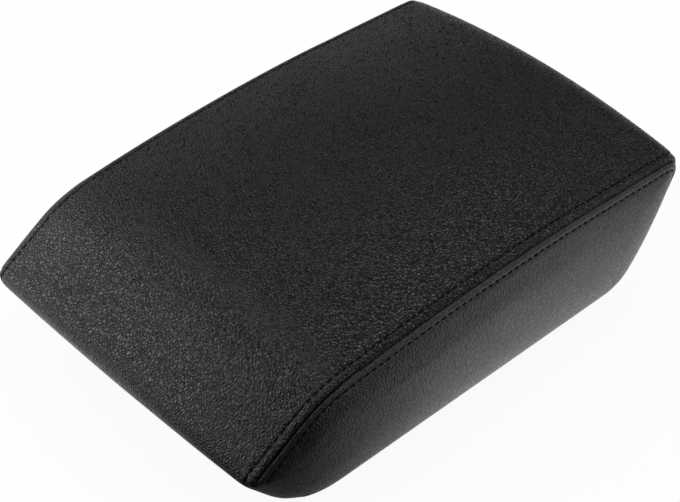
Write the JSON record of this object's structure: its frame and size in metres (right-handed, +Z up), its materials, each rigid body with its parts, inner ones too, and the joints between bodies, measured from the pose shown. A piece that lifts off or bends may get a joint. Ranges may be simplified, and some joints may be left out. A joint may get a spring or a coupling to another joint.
{
  "type": "car centre armrest",
  "caption": "Upholstered console-lid armrest for a car: leather-covered crowned pad with twin-stitched side seams, on a rear hinge, with a finger latch under the front edge.",
  "frame": {"origin": "middle of the hinge base's four bolt holes, on the console's top, straight below the hinge pin", "axes": "+X to the right-hand side, -Y towards the front of the armrest, +Z up"},
  "size_m": [0.203, 0.299, 0.089],
  "materials": {
    "cover_leather": "pebble-grained black synthetic leather, satin",
    "stitch_thread": "black polyester thread",
    "foam": "moulded polyurethane foam",
    "moulded_plastic": "fine-grained black moulding",
    "latch_plastic": "smooth black moulding",
    "bumper_rubber": "matt rubber",
    "screw_steel": "black zinc plating",
    "plain_steel": "bright zinc plating",
    "hinge_steel": "black coated pressed sheet",
    "bush_plastic": "natural nylon"
  },
  "bodies": {
    "base": {"hinge_base": "hinge_steel", "hinge_pin": "plain_steel", "hinge_pin_clip": "plain_steel"},
    "lid": {"cover_top_panel": "cover_leather", "cover_left_panel": "cover_leather", "cover_right_panel": "cover_leather", "topstitch_left_inner": "stitch_thread", "topstitch_left_outer": "stitch_thread", "topstitch_right_inner": "stitch_thread", "topstitch_right_outer": "stitch_thread", "foam_pad": "foam", "pad_carrier": "moulded_plastic", "inner_panel": "moulded_plastic", "inner_panel_screws": "screw_steel", "bumper_front_left": "bumper_rubber", "bumper_front_right": "bumper_rubber", "bumper_rear_left": "bumper_rubber", "bumper_rear_right": "bumper_rubber", "latch_bezel": "moulded_plastic", "latch_pin": "plain_steel", "latch_spring": "plain_steel", "hinge_leaf": "hinge_steel", "hinge_leaf_screws": "screw_steel", "hinge_bush_left": "bush_plastic", "hinge_bush_right": "bush_plastic"},
    "latch": {"latch_lever": "latch_plastic"}
  },
  "joints": [
    {"name": "lid_hinge", "type": "hinge", "parent": "base", "child": "lid", "pos_m": [0, 0, 0.0061], "axis": [-1, 0, 0], "range_deg": [0, 68]},
    {"name": "latch_pull", "type": "hinge", "parent": "lid", "child": "latch", "pos_m": [0, -0.1997, 0.017], "axis": [-1, 0, 0], "range_deg": [0, 12], "stiffness_Nm_per_rad": 0.8, "springref_deg": -8.59, "deforming": ["latch_spring"]}
  ]
}
